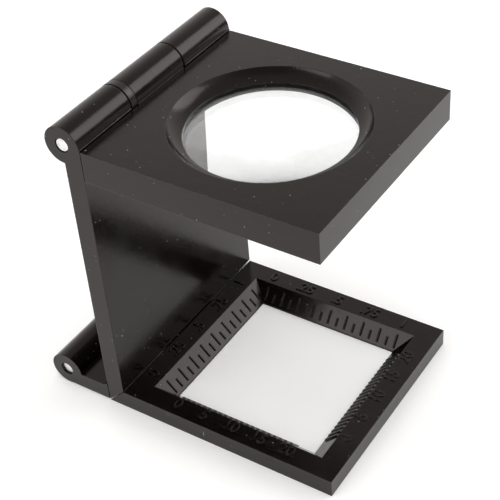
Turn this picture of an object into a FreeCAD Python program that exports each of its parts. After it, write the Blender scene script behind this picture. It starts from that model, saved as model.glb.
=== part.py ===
import FreeCAD, Part
import os
import Sketcher

# Folding stand magnifier of the linen tester type: a base frame with a measuring window,
# an upright back plate and a lens plate, joined by two three-knuckle barrel hinges.
#
# Frame, in millimetres: X = 0 is the inner face of the upright back plate and the window
# and the lens lie towards +X, Y = 0 is the middle of the width and the hinge axes run
# along Y, Z = 0 is the flat underside of the base frame.

SIZES = [
    # whole object
    ("overall_width", 37.4),          # all three plates, along Y
    ("base_length", 38.4),            # base frame, from the upright's inner face forward
    ("stand_height", 49.8),           # top face of the lens plate above the table
    # plates
    ("base_thickness", 3.1),
    ("upright_thickness", 3.1),
    ("lens_plate_thickness", 5.0),
    ("lens_plate_length", 37.9),
    # hinges
    ("upper_barrel_radius", 3.0),
    ("lower_barrel_radius", 2.9),
    ("middle_half_length", 6.4),      # half the length of the middle knuckle and washer
    ("washer_thickness", 1.2),
    ("pin_radius", 1.15),
    ("upper_pin_recess", 0.15),       # pin end below the side face
    ("lower_pin_recess", 0.35),
    ("pin_chamfer", 0.15),
    # clearances
    ("fold_gap", 0.2),                # between plates that lie on each other when folded
    ("nest_gap", 0.26),               # lens plate to the lower barrel when folded
    ("butt_gap", 0.15),               # lens plate's back edge to the upright
    ("knuckle_gap", 0.3),             # end gap between knuckles, and round them
    ("washer_gap", 0.1),
    ("press_fit_gap", 0.01),          # pin in the outer knuckles, radial
    ("running_fit_gap", 0.05),        # pin in the middle knuckle and washer, radial
    ("mitre_gap", 0.1),               # base frame to the upright's foot
    ("foot_lift", 0.2),               # upright's foot and hinge leaves above the table
    ("barrel_lift", 0.1),             # lower barrel above the table
    # foot of the upright
    ("leaf_thickness", 2.8),
    ("gusset_run", 0.9),
    ("gusset_rise", 0.65),
    ("crease_width", 0.2),            # where the foot meets the upright, on both sides
    ("crease_depth", 0.2),
    # measuring window and its bevels
    ("window_side", 25.6),
    ("window_centre", 19.2),
    ("bevel_run_x", 2.75),
    ("bevel_run_y", 2.4),
    ("window_land", 0.3),             # upright rim left below the bevels
    # scale ridges
    ("inch_tick_pitch", 3.175),       # one eighth of an inch between long ridges
    ("millimetre_tick_pitch", 1.0),
    ("inch_tick_radius", 0.18),
    ("inch_tick_foot_radius", 0.18),
    ("near_tick_radius", 0.3),        # the near ridges thin out towards the window
    ("near_tick_foot_radius", 0.12),
    ("front_tick_radius", 0.25),
    ("front_tick_foot_radius", 0.25),
    ("tick_rise", 0.05),              # centre of a ridge's round above the bevel
    ("tick_foot_height", 0.7),
    ("long_tick_top", 2.5),
    ("short_tick_top", 1.85),
    ("millimetre_tick_top", 2.95),
    # lens seat
    ("lens_centre", 19.1),
    ("lip_radius", 12.5),
    ("cove_radius", 4.0),
    ("cove_centre_inset", 1.1),
    ("cove_centre_rise", 2.27),
    ("seat_depth", 2.3),
    ("seat_radius", 13.35),
    # lens and its ring
    ("lens_rim_gap", 0.05),
    ("lens_seat_gap", 0.02),
    ("lens_top_radius", 42.0),
    ("lens_bottom_radius", 500.0),
    ("ring_inner_radius", 12.4),
    ("ring_height", 1.0),
    ("ring_inset", 0.3),
    ("ring_fit_gap", 0.03),
]

INCH_LONG_TICKS = 9
MILLIMETRE_TICKS = 21

# Places worked out from the sizes, as expressions over the sheet's cells.
LENS_PLATE_BOTTOM = "Sizes.stand_height - Sizes.lens_plate_thickness"
UPPER_AXIS_X = "-Sizes.upright_thickness"
UPPER_AXIS_Z = "Sizes.stand_height + Sizes.fold_gap"
LOWER_AXIS_Z = "Sizes.lower_barrel_radius + Sizes.barrel_lift"
# The folded lens plate lies between the upright and the lower barrel, and the folded
# base lies on the lens plate, so the deeper of the two needs sets the barrel back.
LOWER_AXIS_X = ("-(Sizes.upright_thickness + Sizes.fold_gap + Sizes.lens_plate_thickness"
                " + max(Sizes.lower_barrel_radius + Sizes.nest_gap;"
                " Sizes.lower_barrel_radius + Sizes.barrel_lift + Sizes.fold_gap))")
WINDOW_LEFT = "Sizes.window_centre - Sizes.window_side / 2"
WINDOW_RIGHT = "Sizes.window_centre + Sizes.window_side / 2"
LEAF_TOP = "Sizes.foot_lift + Sizes.leaf_thickness"
FOOT_TOP = "Sizes.base_thickness + Sizes.foot_lift"
SLOT_WIDTH = "2 * (Sizes.middle_half_length + Sizes.knuckle_gap)"
MIDDLE_LENGTH = "2 * Sizes.middle_half_length - Sizes.washer_thickness - Sizes.washer_gap"

doc = FreeCAD.newDocument("folding_magnifier")


def make_sheet():
    """Put every driving size in the sheet, with its name as the cell's alias."""
    sheet = doc.addObject("Spreadsheet::Sheet", "Sizes")
    for row, (name, size) in enumerate(SIZES, start=1):
        sheet.set(f"A{row}", name)
        sheet.set(f"B{row}", str(size))
        sheet.setAlias(f"B{row}", name)
    doc.recompute()


def new_body(name):
    """Add an empty body whose label is the node's name."""
    body = doc.addObject("PartDesign::Body", name)
    body.Label = name
    return body


def new_sketch(body, name, plane="XZ_Plane", offset=None):
    """Add a sketch on one of the body's origin planes, moved along the plane's normal."""
    support = [item for item in body.Origin.OriginFeatures if item.Role == plane][0]
    sketch = body.newObject("Sketcher::SketchObject", f"{body.Name}_{name}")
    sketch.AttachmentSupport = [(support, "")]
    sketch.MapMode = "FlatFace"
    if offset is not None:
        sketch.setExpression("AttachmentOffset.Base.z", offset)
    return sketch


def pin_point(sketch, edge, end, across, up):
    """Hold one point of a sketch at two distances from the sketch's origin."""
    for kind, distance in (("DistanceX", across), ("DistanceY", up)):
        held = sketch.addConstraint(Sketcher.Constraint(kind, -1, 1, edge, end, 1.0))
        sketch.setExpression(f"Constraints[{held}]", distance)


def draw_outline(sketch, corners):
    """Draw a closed outline of straight sides through corners given as expressions."""
    first = sketch.GeometryCount
    count = len(corners)
    # The sides start on a small polygon, and the constraints carry them to their places.
    starts = [FreeCAD.Vector(1 + number, 1 + number * number, 0) for number in range(count)]
    for number in range(count):
        ahead = starts[(number + 1) % count]
        sketch.addGeometry(Part.LineSegment(starts[number], ahead))
    for number in range(count):
        following = first + (number + 1) % count
        sketch.addConstraint(Sketcher.Constraint("Coincident", first + number, 2, following, 1))
    for number, (across, up) in enumerate(corners):
        pin_point(sketch, first + number, 1, across, up)


def draw_circle(sketch, across, up, radius):
    """Draw a circle whose centre and radius are expressions."""
    centre = FreeCAD.Vector(1, 1, 0)
    edge = sketch.addGeometry(Part.Circle(centre, FreeCAD.Vector(0, 0, 1), 1.0))
    pin_point(sketch, edge, 3, across, up)
    held = sketch.addConstraint(Sketcher.Constraint("Radius", edge, 1.0))
    sketch.setExpression(f"Constraints[{held}]", radius)


def pad(body, sketch, length, both_ways=True, reverse=False):
    """Pad a sketch, evenly both ways from its plane unless told otherwise."""
    feature = body.newObject("PartDesign::Pad", f"{sketch.Name}_pad")
    feature.Profile = sketch
    feature.SideType = "Symmetric" if both_ways else "One side"
    feature.Reversed = reverse
    feature.setExpression("Length", length)
    sketch.Visibility = False
    doc.recompute()
    return feature


def pocket(body, sketch, length, both_ways=True, reverse=False):
    """Pocket a sketch and make sure that it took something away."""
    before = body.Shape.Volume
    feature = body.newObject("PartDesign::Pocket", f"{sketch.Name}_pocket")
    feature.Profile = sketch
    feature.SideType = "Symmetric" if both_ways else "One side"
    feature.Reversed = reverse
    feature.setExpression("Length", length)
    sketch.Visibility = False
    doc.recompute()
    if body.Shape.Volume >= before:
        raise RuntimeError(f"{feature.Name} cuts nothing")
    return feature


def bore_hinge(body, name, across, up, radius):
    """Bore a pin hole along Y through everything."""
    sketch = new_sketch(body, name)
    draw_circle(sketch, across, up, radius)
    pocket(body, sketch, "2 * Sizes.overall_width")


def pad_rectangle(body, name, left, right, bottom, top, length):
    """Pad an upright rectangle along Y, evenly both ways from the middle."""
    sketch = new_sketch(body, name)
    draw_outline(sketch, [(left, bottom), (right, bottom), (right, top), (left, top)])
    return pad(body, sketch, length)


def pad_round(body, name, across, up, radius, length):
    """Pad a round bar along Y, evenly both ways from the middle."""
    sketch = new_sketch(body, name)
    draw_circle(sketch, across, up, radius)
    return pad(body, sketch, length)


def sketch_axis(sketch, start, end):
    """Add a construction line between two points to a sketch and name it as an axis."""
    line = Part.LineSegment(FreeCAD.Vector(1, 0, 0), FreeCAD.Vector(1, 1, 0))
    edge = sketch.addGeometry(line, True)
    pin_point(sketch, edge, 1, *start)
    pin_point(sketch, edge, 2, *end)
    return "Axis0"


def cut_window(body):
    """Open the square window and slope its four edges up to the top face."""
    opening = new_sketch(body, "opening", "XY_Plane")
    half = "Sizes.window_side / 2"
    draw_outline(opening, [(WINDOW_LEFT, f"-{half}"), (WINDOW_RIGHT, f"-{half}"),
                           (WINDOW_RIGHT, half), (WINDOW_LEFT, half)])
    pocket(body, opening, "4 * Sizes.base_thickness")
    narrow = new_sketch(body, "bevel_foot", "XY_Plane", "Sizes.window_land")
    draw_outline(narrow, [(WINDOW_LEFT, f"-{half}"), (WINDOW_RIGHT, f"-{half}"),
                          (WINDOW_RIGHT, half), (WINDOW_LEFT, half)])
    wide = new_sketch(body, "bevel_head", "XY_Plane", "Sizes.base_thickness")
    left = f"{WINDOW_LEFT} - Sizes.bevel_run_x"
    right = f"{WINDOW_RIGHT} + Sizes.bevel_run_x"
    far = f"{half} + Sizes.bevel_run_y"
    near = f"-({far})"
    draw_outline(wide, [(left, near), (right, near), (right, far), (left, far)])
    before = body.Shape.Volume
    bevel = body.newObject("PartDesign::SubtractiveLoft", "window_bevel")
    bevel.Profile = narrow
    bevel.Sections = [wide]
    bevel.Ruled = True
    doc.recompute()
    if body.Shape.Volume >= before:
        raise RuntimeError("the window's bevels cut nothing")


def add_ridges(body, name, side, shape, top, pitch, count):
    """Raise a row of round, tapered scale ridges on one bevel, from near its foot up."""
    across_x = side in ("back", "front")
    run = "Sizes.bevel_run_x" if across_x else "Sizes.bevel_run_y"
    foot = {"back": WINDOW_LEFT, "front": WINDOW_RIGHT,
            "near": "-Sizes.window_side / 2", "far": "Sizes.window_side / 2"}[side]
    outwards, inwards = ("-", "+") if side in ("back", "near") else ("+", "-")
    drop = "(Sizes.base_thickness - Sizes.window_land)"
    slope = f"sqrt({run} ^ 2 + {drop} ^ 2)"

    def above_bevel(height, rise):
        """Sketch point that lies a rise above the bevel's point at a height."""
        across = (f"{foot} {outwards} {run} * ({height} - Sizes.window_land) / {drop}"
                  f" {inwards} ({rise}) * {drop} / {slope}")
        return across, f"{height} + ({rise}) * {run} / {slope}"

    lower = above_bevel("Sizes.tick_foot_height", "Sizes.tick_rise")
    upper = above_bevel(top, "Sizes.tick_rise")
    plane = "XZ_Plane" if across_x else "YZ_Plane"
    span = f"{pitch} * {count - 1}"
    start = f"{span} / 2" if across_x else f"Sizes.window_centre - {span} / 2"
    sketch = new_sketch(body, name, plane, start)
    top_crest = f"Sizes.tick_rise + Sizes.{shape}_tick_radius"
    foot_crest = f"Sizes.tick_rise + Sizes.{shape}_tick_foot_radius"
    draw_outline(sketch, [lower, upper, above_bevel(top, top_crest),
                          above_bevel("Sizes.tick_foot_height", foot_crest)])
    ridge = body.newObject("PartDesign::Revolution", f"{name}_ridge")
    ridge.Profile = sketch
    ridge.ReferenceAxis = (sketch, [sketch_axis(sketch, lower, upper)])
    ridge.Angle = 360.0
    sketch.Visibility = False
    doc.recompute()
    row = body.newObject("PartDesign::LinearPattern", f"{name}_row")
    row.Originals = [ridge]
    row.Direction = (sketch, ["N_Axis"])
    row.Reversed = across_x
    row.setExpression("Length", span)
    row.Occurrences = count
    body.Tip = row
    doc.recompute()


def add_scales(body):
    """Inch ridges on the back and far bevels, millimetre ridges on the near and front."""
    pitch = "Sizes.inch_tick_pitch"
    for side in ("back", "far"):
        add_ridges(body, f"{side}_eighths", side, "inch", "Sizes.long_tick_top", pitch,
                   INCH_LONG_TICKS)
        add_ridges(body, f"{side}_sixteenths", side, "inch", "Sizes.short_tick_top", pitch,
                   INCH_LONG_TICKS - 1)
    for side in ("near", "front"):
        add_ridges(body, f"{side}_millimetres", side, side, "Sizes.millimetre_tick_top",
                   "Sizes.millimetre_tick_pitch", MILLIMETRE_TICKS)


def make_base_frame():
    """Base frame: bevelled window, scale ridges, mitred back edge and middle knuckle."""
    body = new_body("base_frame")
    side = new_sketch(body, "side")
    draw_outline(side, [("Sizes.mitre_gap - Sizes.upright_thickness", "0"),
                        ("Sizes.base_length", "0"),
                        ("Sizes.base_length", "Sizes.base_thickness"),
                        ("Sizes.mitre_gap", "Sizes.base_thickness")])
    pad(body, side, "Sizes.overall_width")
    cut_window(body)
    add_scales(body)
    tongue = new_sketch(body, "tongue", offset="-Sizes.middle_half_length")
    draw_outline(tongue, [(LOWER_AXIS_X, "Sizes.foot_lift"),
                          ("Sizes.mitre_gap", "Sizes.foot_lift"),
                          ("Sizes.mitre_gap", "Sizes.base_thickness"),
                          (LOWER_AXIS_X, "Sizes.base_thickness")])
    pad(body, tongue, MIDDLE_LENGTH, both_ways=False)
    knuckle = new_sketch(body, "knuckle", offset="-Sizes.middle_half_length")
    draw_circle(knuckle, LOWER_AXIS_X, LOWER_AXIS_Z, "Sizes.lower_barrel_radius")
    pad(body, knuckle, MIDDLE_LENGTH, both_ways=False)
    bore_hinge(body, "pin_bore", LOWER_AXIS_X, LOWER_AXIS_Z,
               "Sizes.pin_radius + Sizes.running_fit_gap")
    return body


def make_back_plate():
    """Upright with its hinge leaves, the outer knuckles of both hinges and their slots."""
    body = new_body("back_plate")
    side = new_sketch(body, "side")
    draw_outline(side, [("-Sizes.upright_thickness", "Sizes.foot_lift"),
                        ("0", FOOT_TOP),
                        ("0", UPPER_AXIS_Z),
                        ("-Sizes.upright_thickness", UPPER_AXIS_Z)])
    pad(body, side, "Sizes.overall_width")
    leaf = new_sketch(body, "leaf")
    draw_outline(leaf, [(LOWER_AXIS_X, "Sizes.foot_lift"),
                        ("-Sizes.upright_thickness", "Sizes.foot_lift"),
                        ("-Sizes.upright_thickness", f"{LEAF_TOP} + Sizes.gusset_rise"),
                        ("-Sizes.upright_thickness - Sizes.gusset_run", LEAF_TOP),
                        (LOWER_AXIS_X, LEAF_TOP)])
    pad(body, leaf, "Sizes.overall_width")
    pad_round(body, "upper_barrel", UPPER_AXIS_X, UPPER_AXIS_Z,
              "Sizes.upper_barrel_radius", "Sizes.overall_width")
    pad_round(body, "lower_barrel", LOWER_AXIS_X, LOWER_AXIS_Z,
              "Sizes.lower_barrel_radius", "Sizes.overall_width")
    cut_upper_slot(body)
    cut_lower_slot(body)
    cut_crease(body, "near_crease", "Sizes.overall_width / 2")
    cut_crease(body, "far_crease", "-Sizes.overall_width / 2")
    for name, across, up in (("upper_bore", UPPER_AXIS_X, UPPER_AXIS_Z),
                             ("lower_bore", LOWER_AXIS_X, LOWER_AXIS_Z)):
        bore_hinge(body, name, across, up, "Sizes.pin_radius + Sizes.press_fit_gap")
    return body


def cut_upper_slot(body):
    """Slot in the top of the upright for the lens plate's arm and knuckle."""
    clear = "(Sizes.upper_barrel_radius + Sizes.knuckle_gap)"
    slot = new_sketch(body, "upper_slot")
    draw_outline(slot, [(f"{UPPER_AXIS_X} - {clear}", f"{UPPER_AXIS_Z} - {clear}"),
                        ("Sizes.upright_thickness", f"{UPPER_AXIS_Z} - {clear}"),
                        ("Sizes.upright_thickness", f"{UPPER_AXIS_Z} + {clear}"),
                        (f"{UPPER_AXIS_X} - {clear}", f"{UPPER_AXIS_Z} + {clear}")])
    pocket(body, slot, SLOT_WIDTH)


def cut_lower_slot(body):
    """Slot in the foot of the upright for the base frame's tongue and knuckle."""
    clear = "(Sizes.lower_barrel_radius + Sizes.knuckle_gap)"
    corner = "-Sizes.upright_thickness - Sizes.gusset_run"
    below = "-Sizes.base_thickness"
    slot = new_sketch(body, "lower_slot")
    draw_outline(slot, [(f"{LOWER_AXIS_X} - {clear}", below),
                        ("Sizes.upright_thickness", below),
                        ("Sizes.upright_thickness", FOOT_TOP),
                        (corner, FOOT_TOP),
                        (corner, f"{LOWER_AXIS_Z} + {clear}"),
                        (f"{LOWER_AXIS_X} - {clear}", f"{LOWER_AXIS_Z} + {clear}")])
    pocket(body, slot, SLOT_WIDTH)


def cut_crease(body, name, side):
    """Fine groove up one side face, where the foot meets the upright."""
    crease = new_sketch(body, name, offset=side)
    left = "-Sizes.upright_thickness - Sizes.crease_width / 2"
    right = "-Sizes.upright_thickness + Sizes.crease_width / 2"
    top = f"{LEAF_TOP} + Sizes.gusset_rise"
    draw_outline(crease, [(left, "0"), (right, "0"), (right, top), (left, top)])
    pocket(body, crease, "2 * Sizes.crease_depth")


def make_lens_plate():
    """Lens plate: stepped and coved lens seat, arm and middle knuckle."""
    body = new_body("lens_plate")
    pad_rectangle(body, "plate", "Sizes.butt_gap", "Sizes.butt_gap + Sizes.lens_plate_length",
                  LENS_PLATE_BOTTOM, "Sizes.stand_height", "Sizes.overall_width")
    arm = new_sketch(body, "arm", offset="-Sizes.middle_half_length")
    arm_bottom = f"{UPPER_AXIS_Z} - Sizes.upper_barrel_radius"
    draw_outline(arm, [(UPPER_AXIS_X, arm_bottom),
                       ("2 * Sizes.butt_gap", arm_bottom),
                       ("2 * Sizes.butt_gap", "Sizes.stand_height"),
                       (UPPER_AXIS_X, "Sizes.stand_height")])
    pad(body, arm, MIDDLE_LENGTH, both_ways=False)
    knuckle = new_sketch(body, "knuckle", offset="-Sizes.middle_half_length")
    draw_circle(knuckle, UPPER_AXIS_X, UPPER_AXIS_Z, "Sizes.upper_barrel_radius")
    pad(body, knuckle, MIDDLE_LENGTH, both_ways=False)
    bore_hinge(body, "pin_bore", UPPER_AXIS_X, UPPER_AXIS_Z,
               "Sizes.pin_radius + Sizes.running_fit_gap")
    cut_lens_seat(body)
    return body


def cut_lens_seat(body):
    """Bore for the view, counterbore from below for lens and ring, cove round the top."""
    bore = new_sketch(body, "view_bore", "XY_Plane", LENS_PLATE_BOTTOM)
    draw_circle(bore, "Sizes.lens_centre", "0", "Sizes.lip_radius")
    pocket(body, bore, "3 * Sizes.lens_plate_thickness")
    counterbore = new_sketch(body, "counterbore", "XY_Plane", LENS_PLATE_BOTTOM)
    draw_circle(counterbore, "Sizes.lens_centre", "0", "Sizes.seat_radius")
    pocket(body, counterbore, "Sizes.lens_plate_thickness - Sizes.seat_depth",
           both_ways=False, reverse=True)
    cove = new_sketch(body, "cove")
    draw_circle(cove, "Sizes.lens_centre + Sizes.lip_radius - Sizes.cove_centre_inset",
                "Sizes.stand_height + Sizes.cove_centre_rise", "Sizes.cove_radius")
    axis = sketch_axis(cove, ("Sizes.lens_centre", "0"),
                       ("Sizes.lens_centre", "Sizes.stand_height"))
    before = body.Shape.Volume
    groove = body.newObject("PartDesign::Groove", "cove_groove")
    groove.Profile = cove
    groove.ReferenceAxis = (cove, [axis])
    groove.Angle = 360.0
    doc.recompute()
    if body.Shape.Volume >= before:
        raise RuntimeError("the cove cuts nothing")


def make_lens():
    """Biconvex lens: the common part of two balls and a round bar, held by its rim."""
    top_edge = "(Sizes.stand_height - Sizes.seat_depth - Sizes.lens_seat_gap)"
    ring_top = f"({LENS_PLATE_BOTTOM} + Sizes.ring_inset + Sizes.ring_height)"
    bottom_edge = f"({ring_top} + Sizes.lens_seat_gap)"
    top_reach = "sqrt(Sizes.lens_top_radius ^ 2 - Sizes.lip_radius ^ 2)"
    bottom_reach = "sqrt(Sizes.lens_bottom_radius ^ 2 - Sizes.ring_inner_radius ^ 2)"
    balls = []
    for name, radius, height in (
            ("lens_top_ball", "Sizes.lens_top_radius", f"{top_edge} - {top_reach}"),
            ("lens_bottom_ball", "Sizes.lens_bottom_radius", f"{bottom_edge} + {bottom_reach}")):
        ball = doc.addObject("Part::Sphere", name)
        ball.setExpression("Radius", radius)
        ball.setExpression("Placement.Base.x", "Sizes.lens_centre")
        ball.setExpression("Placement.Base.z", height)
        balls.append(ball)
    bar = doc.addObject("Part::Cylinder", "lens_bar")
    bar.setExpression("Radius", "Sizes.seat_radius - Sizes.lens_rim_gap")
    bar.setExpression("Height", "2 * Sizes.lens_plate_thickness")
    bar.setExpression("Placement.Base.x", "Sizes.lens_centre")
    bar.setExpression("Placement.Base.z", f"{LENS_PLATE_BOTTOM} - Sizes.lens_plate_thickness / 2")
    lens = doc.addObject("Part::MultiCommon", "lens")
    lens.Shapes = [bar] + balls
    lens.Label = "lens"
    doc.recompute()
    return lens


def make_retaining_ring():
    """Ring pressed into the counterbore from below, under the lens."""
    body = new_body("lens_retaining_ring")
    sketch = new_sketch(body, "ring", "XY_Plane", f"{LENS_PLATE_BOTTOM} + Sizes.ring_inset")
    draw_circle(sketch, "Sizes.lens_centre", "0", "Sizes.seat_radius - Sizes.ring_fit_gap")
    draw_circle(sketch, "Sizes.lens_centre", "0", "Sizes.ring_inner_radius")
    pad(body, sketch, "Sizes.ring_height", both_ways=False)
    return body


def make_pin(name, across, up, recess):
    """Hinge pin with chamfered ends, each end set in from the side face."""
    body = new_body(name)
    bar = pad_round(body, "bar", across, up, "Sizes.pin_radius",
                    f"Sizes.overall_width - 2 * {recess}")
    rims = []
    for number, edge in enumerate(bar.Shape.Edges, start=1):
        if edge.isClosed() and isinstance(edge.Curve, Part.Circle):
            rims.append(f"Edge{number}")
    chamfer = body.newObject("PartDesign::Chamfer", f"{name}_chamfer")
    chamfer.Base = (bar, rims)
    chamfer.setExpression("Size", "Sizes.pin_chamfer")
    doc.recompute()
    return body


def make_washer(name, across, up, barrel_radius):
    """Friction washer at the near end of a middle knuckle."""
    body = new_body(name)
    sketch = new_sketch(body, "washer", offset="Sizes.middle_half_length")
    draw_circle(sketch, across, up, barrel_radius)
    draw_circle(sketch, across, up, "Sizes.pin_radius + Sizes.running_fit_gap")
    pad(body, sketch, "Sizes.washer_thickness", both_ways=False, reverse=True)
    return body


def check_document():
    """Refuse to write anything while an object has failed."""
    doc.recompute()
    for item in doc.Objects:
        if "Invalid" in item.State or "Error" in item.State:
            raise RuntimeError(f"{item.Name} failed: {item.State}")


def write_parts(pieces):
    """Check each piece's shape and write it under its label."""
    os.makedirs("parts", exist_ok=True)
    for piece in pieces:
        shape = piece.Shape
        if shape.isNull() or not shape.isValid() or len(shape.Solids) != 1:
            raise RuntimeError(f"{piece.Label} is not one valid solid")
        shape.exportStep(f"parts/{piece.Label}.step")
        print(piece.Label, round(shape.Volume, 2))


make_sheet()
pieces = [
    make_base_frame(),
    make_back_plate(),
    make_lens_plate(),
    make_lens(),
    make_retaining_ring(),
    make_pin("upper_hinge_pin", UPPER_AXIS_X, UPPER_AXIS_Z, "Sizes.upper_pin_recess"),
    make_pin("lower_hinge_pin", LOWER_AXIS_X, LOWER_AXIS_Z, "Sizes.lower_pin_recess"),
    make_washer("upper_hinge_washer", UPPER_AXIS_X, UPPER_AXIS_Z, "Sizes.upper_barrel_radius"),
    make_washer("lower_hinge_washer", LOWER_AXIS_X, LOWER_AXIS_Z, "Sizes.lower_barrel_radius"),
]
check_document()
write_parts(pieces)
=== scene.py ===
"""Looks of the folding stand magnifier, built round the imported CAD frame.

The CAD nodes keep their shapes and get their materials here. The raised numerals of the
scales are added to them, and then the table, the light tent, the lamps and the camera.
"""

import math

import bpy
from mathutils import Matrix, Vector


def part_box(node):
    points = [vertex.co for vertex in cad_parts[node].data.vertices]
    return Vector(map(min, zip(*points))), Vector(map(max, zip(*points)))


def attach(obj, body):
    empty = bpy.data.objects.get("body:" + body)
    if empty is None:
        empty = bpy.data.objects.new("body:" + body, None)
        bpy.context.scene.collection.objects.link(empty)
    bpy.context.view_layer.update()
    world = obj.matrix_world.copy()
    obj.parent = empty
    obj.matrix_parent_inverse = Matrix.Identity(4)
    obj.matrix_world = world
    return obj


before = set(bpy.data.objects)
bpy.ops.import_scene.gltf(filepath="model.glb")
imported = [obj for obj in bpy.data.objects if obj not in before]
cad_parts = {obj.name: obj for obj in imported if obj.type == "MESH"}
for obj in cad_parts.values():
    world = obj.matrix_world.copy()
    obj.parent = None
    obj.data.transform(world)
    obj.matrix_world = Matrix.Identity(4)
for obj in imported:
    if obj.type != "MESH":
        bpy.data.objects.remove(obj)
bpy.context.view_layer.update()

MM = 0.001


# ---------------------------------------------------------------- node helpers


class Graph:
    """A material's node tree with short ways to add nodes and link them."""

    def __init__(self, name):
        self.material = bpy.data.materials.new(name)
        self.material.use_nodes = True
        self.tree = self.material.node_tree
        self.tree.nodes.clear()
        self.output = self.tree.nodes.new("ShaderNodeOutputMaterial")
        self.coords = self.tree.nodes.new("ShaderNodeTexCoord").outputs["Object"]

    def node(self, kind, **settings):
        made = self.tree.nodes.new("ShaderNode" + kind)
        for key, value in settings.items():
            setattr(made, key, value)
        return made

    def link(self, source, target):
        self.tree.links.new(source, target)

    def fill(self, socket, value):
        """Puts a link or a plain value on an input socket."""
        if isinstance(value, bpy.types.NodeSocket):
            self.link(value, socket)
        else:
            socket.default_value = value

    def mapping(self, scale, rotation):
        """The object's coordinates, turned and stretched."""
        made = self.node("Mapping")
        self.link(self.coords, made.inputs["Vector"])
        made.inputs["Scale"].default_value = scale
        made.inputs["Rotation"].default_value = rotation
        return made.outputs["Vector"]

    def noise(self, size, detail=3.0, rough=0.5, vector=None):
        """Fractal noise, 0 to 1, whose features are about size metres wide."""
        made = self.node("TexNoise")
        self.link(vector or self.coords, made.inputs["Vector"])
        made.inputs["Scale"].default_value = 1.0 / size
        made.inputs["Detail"].default_value = detail
        made.inputs["Roughness"].default_value = rough
        return made.outputs["Fac"]

    def specks(self, spacing, radius):
        """1 inside small round specks scattered about spacing metres apart, else 0."""
        cells = self.node("TexVoronoi", feature="F1")
        self.link(self.coords, cells.inputs["Vector"])
        cells.inputs["Scale"].default_value = 1.0 / spacing
        rim = radius / spacing
        return self.ramp(cells.outputs["Distance"], rim, rim * 0.6)

    def ramp(self, value, start, end, low=0.0, high=1.0):
        """Maps start..end to low..high, held at both ends."""
        made = self.node("MapRange")
        self.link(value, made.inputs["Value"])
        made.inputs["From Min"].default_value = min(start, end)
        made.inputs["From Max"].default_value = max(start, end)
        if start > end:
            low, high = high, low
        made.inputs["To Min"].default_value = low
        made.inputs["To Max"].default_value = high
        return made.outputs["Result"]

    def math(self, operation, first, second):
        made = self.node("Math", operation=operation)
        self.fill(made.inputs[0], first)
        self.fill(made.inputs[1], second)
        return made.outputs["Value"]

    def vector_math(self, operation, first, second):
        """The node itself, because its result is a vector or a value."""
        made = self.node("VectorMath", operation=operation)
        self.fill(made.inputs[0], first)
        self.fill(made.inputs[1], second)
        return made

    def mix(self, share, first, second):
        """A colour between first and second."""
        made = self.node("Mix", data_type="RGBA")
        self.fill(made.inputs["Factor"], share)
        self.fill(made.inputs["A"], first)
        self.fill(made.inputs["B"], second)
        return made.outputs["Result"]

    def tint(self, colour, mask, share, mark):
        """A colour, with a mark's colour laid over it where the mask is 1."""
        return self.mix(self.math("MULTIPLY", mask, share), colour, mark)

    def bump(self, height, depth, normal=None):
        """A bump whose full height stands for depth metres."""
        made = self.node("Bump")
        self.link(height, made.inputs["Height"])
        made.inputs["Distance"].default_value = depth
        if normal is not None:
            self.link(normal, made.inputs["Normal"])
        return made.outputs["Normal"]

    def principled(self, **values):
        made = self.node("BsdfPrincipled")
        for key, value in values.items():
            self.fill(made.inputs[key.replace("_", " ")], value)
        self.link(made.outputs["BSDF"], self.output.inputs["Surface"])


def grey(level, warm=0.0):
    """A linear grey, with a little more red and less blue as warm grows."""
    return (level * (1 + warm), level, level * (1 - warm), 1.0)


# --------------------------------------------------------------- moulded plastic

PLASTIC_LEVEL = 0.0011
PLASTIC_ROUGHNESS = 0.18
PLASTIC_IOR = 1.44
PLASTIC_SHEEN = (1.0, 0.91, 0.88, 1.0)  # the black reflects a little brown
PLASTIC_GREY = grey(PLASTIC_LEVEL, 0.5)
PLASTIC_BROWN = (PLASTIC_LEVEL * 3.0, PLASTIC_LEVEL, PLASTIC_LEVEL, 1.0)
PLASTIC_CLOUD = grey(PLASTIC_LEVEL * 2.0, 0.2)
# Light grey of the edge line: partly wear, partly a painted edge highlight.
EDGE_WEAR_AND_HIGHLIGHT_COLOUR = grey(0.09, 0.05)
NICK_COLOUR = grey(0.16, 0.02)
SCRATCH_COLOUR = grey(0.06, 0.05)
DUST_COLOUR = grey(0.35, 0.02)

# Widths of the surface's features, and the depths that their bumps stand for.
CLOUD_SIZE = 7.0 * MM
BROWN_SIZE = 2.4 * MM
GRAIN_SIZE = 0.5 * MM
GRAIN_DEPTH = 0.004 * MM
WAVE_SIZE = 2.2 * MM
WAVE_DEPTH = 0.012 * MM
MARK_DEPTH = 0.01 * MM

EDGE_RADIUS = 0.14 * MM
# Width of the gaps in the worn edge line with its painted highlight.
EDGE_BREAK_SIZE = 1.5 * MM
NICK_AT = (15.4 * MM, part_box("base_frame")[0][1], 1.5 * MM)  # on the base frame's near side
NICK_SIZE = (0.12 * MM, 0.5 * MM, 0.55 * MM)

# Scratches: angle, length, width, and the share of the noise that is kept.
SCRATCHES = ((0.5, 4.0 * MM, 0.05 * MM, 0.27), (-0.9, 6.0 * MM, 0.06 * MM, 0.25))
# Dust: spacing and radius of the specks, then the size of its patches and their noise range.
DUST = ((1.35 * MM, 0.1 * MM, 9.0 * MM, 0.42, 0.55), (3.0 * MM, 0.17 * MM, 5.0 * MM, 0.5, 0.6))


def scratch_mask(g, angle, length, width, keep):
    """Fine straight scratches, 0 to 1, along one direction."""
    lines = g.mapping((1.0, length / width, length / width), (0.0, 0.0, angle))
    return g.ramp(g.noise(length, 1.0, 0.4, lines), 1.0 - keep, 1.02 - keep)


def dust_mask(g, spacing, radius, patch, start, full):
    """Dust specks, 0 to 1, thicker in some patches than in others."""
    return g.math("MULTIPLY", g.specks(spacing, radius), g.ramp(g.noise(patch), start, full))


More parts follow.
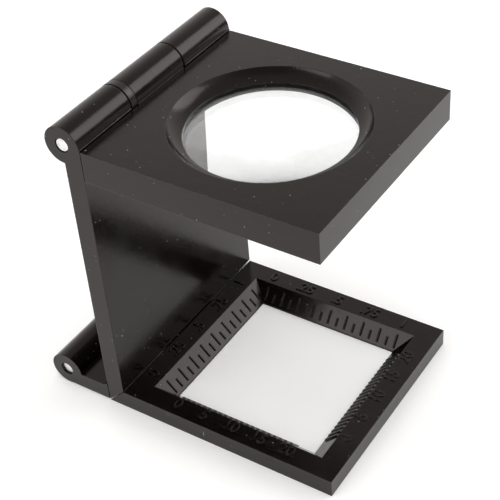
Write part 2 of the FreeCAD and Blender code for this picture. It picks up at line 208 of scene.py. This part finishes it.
def worn_and_highlit_edges(g, rounded):
    """Broken light line, 0 to 1, where a rounded normal leaves the true one: partly worn edges,
    partly a painted edge highlight.
    """
    true_normal = g.node("NewGeometry").outputs["Normal"]
    turn = g.vector_math("DOT_PRODUCT", rounded, true_normal).outputs["Value"]
    gaps = g.ramp(g.noise(EDGE_BREAK_SIZE, 4.0, 0.7), 0.45, 0.65, 0.15, 1.0)
    return g.math("MULTIPLY", g.ramp(turn, 0.985, 0.9), gaps)


def nick(g, place, size):
    """1 inside a small oblong nick centred on a place of the object, else 0."""
    apart = g.vector_math("SUBTRACT", g.coords, place).outputs["Vector"]
    shares = g.vector_math("DIVIDE", apart, size).outputs["Vector"]
    reach = g.node("VectorMath", operation="LENGTH")
    g.link(shares, reach.inputs[0])
    return g.ramp(reach.outputs["Value"], 1.0, 0.7)


def moulded_plastic():
    """Semi-gloss black plastic: brown cloudiness, grain, scratches, dust, and worn edges with a
    painted edge highlight.
    """
    g = Graph("black_plastic")
    cloud = g.noise(CLOUD_SIZE, 4.0, 0.6)
    grain = g.noise(GRAIN_SIZE, 3.0, 0.6)
    scratches = g.math("MAXIMUM", *[scratch_mask(g, *scratch) for scratch in SCRATCHES])
    dust = g.math("MAXIMUM", *[dust_mask(g, *dust) for dust in DUST])
    rounding = g.node("Bevel", samples=6)
    rounding.inputs["Radius"].default_value = EDGE_RADIUS
    rounded = rounding.outputs["Normal"]

    brown = g.ramp(g.noise(BROWN_SIZE, 3.0, 0.6), 0.35, 0.65)
    base = g.mix(brown, PLASTIC_GREY, PLASTIC_BROWN)
    base = g.mix(g.ramp(cloud, 0.3, 0.7, 0.0, 0.35), base, PLASTIC_CLOUD)
    # Lightens the edges: partly wear, partly a painted edge highlight.
    base = g.tint(base, worn_and_highlit_edges(g, rounded), 0.6, EDGE_WEAR_AND_HIGHLIGHT_COLOUR)
    base = g.mix(nick(g, NICK_AT, NICK_SIZE), base, NICK_COLOUR)
    base = g.tint(base, scratches, 0.3, SCRATCH_COLOUR)
    base = g.tint(base, dust, 0.8, DUST_COLOUR)

    smooth = PLASTIC_ROUGHNESS - 0.03
    dull = PLASTIC_ROUGHNESS + 0.05
    rough = g.ramp(cloud, 0.3, 0.7, smooth, dull)
    rough = g.math("ADD", rough, g.math("MULTIPLY", scratches, 0.12))
    rough = g.math("ADD", rough, g.ramp(grain, 0.3, 0.7, -0.03, 0.03))

    normal = g.bump(grain, GRAIN_DEPTH, rounded)
    normal = g.bump(g.noise(WAVE_SIZE, 2.0), WAVE_DEPTH, normal)
    marks = g.math("MAXIMUM", dust, g.math("MULTIPLY", scratches, -0.3))
    normal = g.bump(marks, MARK_DEPTH, normal)
    g.principled(
        Base_Color=base,
        Roughness=rough,
        IOR=PLASTIC_IOR,
        Specular_Tint=PLASTIC_SHEEN,
        Normal=normal,
    )
    return g.material


# --------------------------------------------------------------- other materials


def washer_plastic():
    """Glossier black of the thin hinge washers, with fine grain."""
    g = Graph("washer_plastic")
    grain = g.noise(0.3 * MM, 2.0)
    g.principled(
        Base_Color=g.mix(g.noise(2.0 * MM), grey(0.008, 0.1), grey(0.016, 0.1)),
        Roughness=g.ramp(grain, 0.3, 0.7, 0.2, 0.34),
        IOR=1.5,
        Normal=g.bump(grain, 0.004 * MM),
    )
    return g.material


def ring_plastic():
    """Dull black of the ring that keeps the lens in."""
    g = Graph("ring_plastic")
    grain = g.noise(0.4 * MM)
    g.principled(
        Base_Color=g.mix(g.noise(3.0 * MM), grey(0.008, 0.05), grey(0.014, 0.05)),
        Roughness=g.ramp(grain, 0.3, 0.7, 0.45, 0.6),
        IOR=1.5,
        Normal=g.bump(grain, 0.008 * MM),
    )
    return g.material


def pin_steel():
    """Bright cut wire: fine cut lines across its ends and a few dull spots."""
    g = Graph("pin_steel")
    lines = g.mapping((30.0, 1.0, 3.0), (0.0, 0.5, 0.0))
    cuts = g.noise(1.2 * MM, 2.0, 0.5, lines)
    spots = g.noise(0.5 * MM, 2.0)
    g.principled(
        Base_Color=g.mix(g.ramp(spots, 0.55, 0.75), grey(0.82, 0.01), grey(0.5, 0.02)),
        Metallic=1.0,
        Roughness=g.ramp(spots, 0.3, 0.8, 0.22, 0.5),
        Normal=g.bump(cuts, 0.006 * MM),
    )
    return g.material


def lens_glass():
    """Clear glass with hardly visible polishing haze."""
    g = Graph("lens_glass")
    haze = g.noise(3.0 * MM, 4.0, 0.6)
    g.principled(
        Base_Color=g.mix(haze, (0.985, 0.995, 1.0, 1.0), (0.97, 0.985, 0.985, 1.0)),
        Transmission_Weight=g.ramp(haze, 0.3, 0.7, 0.94, 0.86),
        Roughness=g.ramp(haze, 0.5, 0.9, 0.0, 0.02),
        IOR=1.52,
    )
    return g.material


def table_white():
    """Plain white studio table."""
    g = Graph("table_white")
    g.principled(
        Base_Color=g.mix(g.noise(60.0 * MM, 2.0), grey(0.86), grey(0.9)),
        Roughness=0.7,
        IOR=1.4,
        Emission_Color=grey(1.0),
        Emission_Strength=0.24,
    )
    return g.material


def paint(names, material):
    """Gives some CAD nodes one material."""
    for name in names:
        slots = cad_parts[name].data.materials
        slots.clear()
        slots.append(material)


# --------------------------------------------------------------------- numerals

INCH_LABELS = ("0", ".25", ".5", ".75", "1")
MM_LABELS = ("0", "5", "10", "15", "20")
INCH_QUARTER = 6.35 * MM
FIVE_MILLIMETRES = 5.0 * MM
MIDDLE_LABEL = 2  # the label that stands at the middle of its row

DIGIT_HEIGHT = 2.0 * MM
DIGIT_SHARE = 0.72  # a digit's height over the font's size
LABEL_RISE = 0.2 * MM
FAINT_RISE = 0.13 * MM
LABEL_ROUNDING = 0.06 * MM
LABEL_THINNING = -0.02 * MM
LABEL_SUNK = 0.06 * MM  # below the surface, so that no label floats

# How far each row of labels stands from the middle of its rim, towards the window.
NEAR_SHIFT = 0.4 * MM
FAR_SHIFT = 0.15 * MM
FRONT_SHIFT = 0.625 * MM
BACK_SHIFT = -0.075 * MM

TOUCH = 0.005 * MM  # places closer than this are the same place


def extent(places):
    """The lowest and highest x and y of some places, as (x, x, y, y)."""
    across = [place.x for place in places]
    along = [place.y for place in places]
    return min(across), max(across), min(along), max(along)


def is_inside(place, outline):
    """True for a place that lies off all four sides of an outline."""
    left, right, near, far = outline
    return left + TOUCH < place.x < right - TOUCH and near + TOUCH < place.y < far - TOUCH


def base_top():
    """The base frame's flat top: its height, its outline and the window's outline in it."""
    corners = [vertex.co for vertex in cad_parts["base_frame"].data.vertices]
    front = max(corner.x for corner in corners)
    height = max(corner.z for corner in corners if corner.x > front - TOUCH)
    # The hinge tongue is level with the top, and lies behind x = 0.
    flat = [corner for corner in corners if abs(corner.z - height) < TOUCH and corner.x > 0.0]
    outline = extent(flat)
    inner = [corner for corner in flat if is_inside(corner, outline)]
    return height, outline, extent(inner)


def numeral(name, text, place, turn, rise, material):
    """One raised label on the base frame's top, turned about its middle."""
    curve = bpy.data.curves.new(name, "FONT")
    curve.body = text
    curve.size = DIGIT_HEIGHT / DIGIT_SHARE
    curve.align_x = "CENTER"
    curve.align_y = "CENTER"
    curve.extrude = rise / 2
    curve.bevel_depth = LABEL_ROUNDING
    curve.bevel_resolution = 1
    curve.offset = LABEL_THINNING
    made = bpy.data.objects.new(name, curve)
    bpy.context.scene.collection.objects.link(made)
    x, y, surface = place
    made.location = (x, y, surface + rise / 2 - LABEL_SUNK)
    made.rotation_euler = (0.0, 0.0, turn)
    curve.materials.append(material)
    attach(made, "base")


def numerals(material):
    """The four rows of scale labels round the window."""
    height, outline, window = base_top()
    left, right, near, far = [(outer + inner) / 2 for outer, inner in zip(outline, window)]
    near_y = near + NEAR_SHIFT
    far_y = far - FAR_SHIFT
    front_x = right - FRONT_SHIFT
    back_x = left + BACK_SHIFT
    middle = (window[0] + window[1]) / 2
    sideways = math.pi / 2
    for i, text in enumerate(MM_LABELS):
        step = (i - MIDDLE_LABEL) * FIVE_MILLIMETRES
        numeral(f"near_label_{i}", text, (middle + step, near_y, height), 0.0, LABEL_RISE, material)
        numeral(f"front_label_{i}", text, (front_x, step, height), sideways, FAINT_RISE, material)
    for i, text in enumerate(INCH_LABELS):
        step = (i - MIDDLE_LABEL) * INCH_QUARTER
        numeral(f"far_label_{i}", text, (middle + step, far_y, height), 0.0, LABEL_RISE, material)
        numeral(f"back_label_{i}", text, (back_x, step, height), sideways, LABEL_RISE, material)


# ---------------------------------------------------------------- table and light

TABLE_HALF = 1.5

# Brightness of the tent by the sine of the height above the horizon, as (sine, grey).
TENT = ((0.0, 0.95), (0.3, 0.9), (0.55, 0.78), (0.75, 0.46), (1.0, 0.42))
# Dim parts of the tent: direction, grey, and the cosines where dimming starts and is full.
CAMERA_OPENING = ((0.42, -0.65, 0.63), 0.25, 0.7, 0.93)
DIM_CORNER = ((0.78, 0.62, -0.1), 0.12, 0.9, 0.99)
TENT_WARMTH = 0.03

# Softboxes round the object: name, direction and radiance.
SOFTBOXES = (
    ("softbox_back", (0.55, 0.64, 0.53), 2.25),
    ("softbox_front", (-0.35, -0.79, 0.51), 1.85),
)
SOFTBOX_SIZE = 0.36
SOFTBOX_AWAY = 0.6
OVERHEAD_HEIGHT = 0.8
OVERHEAD_SIZE = 0.5
OVERHEAD_POWER = 2.6
LAMPS_AIM = Vector((12.0, 0.0, 20.0)) * MM  # within the object


def table(material):
    """A flat table top, wide enough to fill the view."""
    half = TABLE_HALF
    corners = [(-half, -half, 0.0), (half, -half, 0.0), (half, half, 0.0), (-half, half, 0.0)]
    mesh = bpy.data.meshes.new("table")
    mesh.from_pydata(corners, [], [(0, 1, 2, 3)])
    mesh.materials.append(material)
    made = bpy.data.objects.new("table", mesh)
    bpy.context.scene.collection.objects.link(made)


def square_lamp(name, location, size, power):
    """A square area lamp aimed at the object."""
    lamp = bpy.data.lights.new(name, "AREA")
    lamp.size = size
    lamp.energy = power
    made = bpy.data.objects.new(name, lamp)
    made.location = location
    made.rotation_mode = "QUATERNION"
    made.rotation_quaternion = (LAMPS_AIM - Vector(location)).to_track_quat("-Z", "Y")
    bpy.context.scene.collection.objects.link(made)
    return made


def dim_part(tree, direction, colour, towards, level, start, full):
    """Fades a colour of the surroundings to a grey round one direction."""
    facing = tree.nodes.new("ShaderNodeVectorMath")
    facing.operation = "DOT_PRODUCT"
    tree.links.new(direction, facing.inputs[0])
    facing.inputs[1].default_value = Vector(towards).normalized()
    share = tree.nodes.new("ShaderNodeMapRange")
    share.interpolation_type = "SMOOTHSTEP"
    tree.links.new(facing.outputs["Value"], share.inputs["Value"])
    share.inputs["From Min"].default_value = start
    share.inputs["From Max"].default_value = full
    mix = tree.nodes.new("ShaderNodeMix")
    mix.data_type = "RGBA"
    tree.links.new(share.outputs["Result"], mix.inputs["Factor"])
    tree.links.new(colour, mix.inputs["A"])
    mix.inputs["B"].default_value = grey(level, TENT_WARMTH)
    return mix.outputs["Result"]


def surround():
    """The inside of a light tent: bright by the table, darker overhead and in two parts."""
    world = bpy.data.worlds.new("tent")
    bpy.context.scene.world = world
    world.use_nodes = True
    tree = world.node_tree
    direction = tree.nodes.new("ShaderNodeTexCoord").outputs["Generated"]
    parts = tree.nodes.new("ShaderNodeSeparateXYZ")
    tree.links.new(direction, parts.inputs["Vector"])
    ramp = tree.nodes.new("ShaderNodeValToRGB")
    tree.links.new(parts.outputs["Z"], ramp.inputs["Fac"])
    stops = ramp.color_ramp.elements
    while len(stops) < len(TENT):
        stops.new(0.5)
    for stop, (sine, level) in zip(stops, TENT):
        stop.position = sine
        stop.color = grey(level, TENT_WARMTH)
    colour = ramp.outputs["Color"]
    for part in (CAMERA_OPENING, DIM_CORNER):
        colour = dim_part(tree, direction, colour, *part)
    tree.links.new(colour, tree.nodes["Background"].inputs["Color"])


def lamps():
    """Two softboxes, one behind and one in front, and an even light on the table."""
    for name, towards, radiance in SOFTBOXES:
        place = LAMPS_AIM + Vector(towards).normalized() * SOFTBOX_AWAY
        square_lamp(name, place, SOFTBOX_SIZE, radiance * math.pi * SOFTBOX_SIZE**2)
    overhead = square_lamp("overhead", (0.0, 0.0, OVERHEAD_HEIGHT), OVERHEAD_SIZE, OVERHEAD_POWER)
    overhead.visible_glossy = False


# ----------------------------------------------------------------------- camera

AZIMUTH = math.radians(33.12)
ELEVATION = math.radians(39.19)
ROLL = math.radians(-3.19)
CAMERA_AT = Vector((103.7, -124.4, 149.1)) * MM
SENSOR_WIDTH = 36.0
FOCAL_SHARE = 2.561  # focal length over the sensor's width
SHIFT_X = -0.095  # the photograph is an off-centre crop
SHIFT_Y = -0.0027
CLIP_START = 0.01
CLIP_END = 20.0


def camera():
    """The photograph's viewpoint."""
    data = bpy.data.cameras.new("camera")
    data.sensor_width = SENSOR_WIDTH
    data.lens = SENSOR_WIDTH * FOCAL_SHARE
    data.shift_x = SHIFT_X
    data.shift_y = SHIFT_Y
    data.clip_start = CLIP_START
    data.clip_end = CLIP_END
    made = bpy.data.objects.new("camera", data)
    bpy.context.scene.collection.objects.link(made)
    forward = Vector((
        -math.sin(AZIMUTH) * math.cos(ELEVATION),
        math.cos(AZIMUTH) * math.cos(ELEVATION),
        -math.sin(ELEVATION),
    ))
    right = Vector((math.cos(AZIMUTH), math.sin(AZIMUTH), 0.0))
    up = right.cross(forward)
    rolled_right = right * math.cos(ROLL) + up * math.sin(ROLL)
    rolled_up = up * math.cos(ROLL) - right * math.sin(ROLL)
    axes = Matrix((rolled_right, rolled_up, -forward)).transposed()
    made.matrix_world = Matrix.Translation(CAMERA_AT) @ axes.to_4x4()
    bpy.context.scene.camera = made


# ------------------------------------------------------------------------ build

plastic = moulded_plastic()
paint(("base_frame", "back_plate", "lens_plate"), plastic)
paint(("upper_hinge_washer", "lower_hinge_washer"), washer_plastic())
paint(("upper_hinge_pin", "lower_hinge_pin"), pin_steel())
paint(("lens_retaining_ring",), ring_plastic())
paint(("lens",), lens_glass())
numerals(plastic)
table(table_white())
surround()
lamps()
camera()
bpy.context.scene.view_settings.view_transform = "Standard"
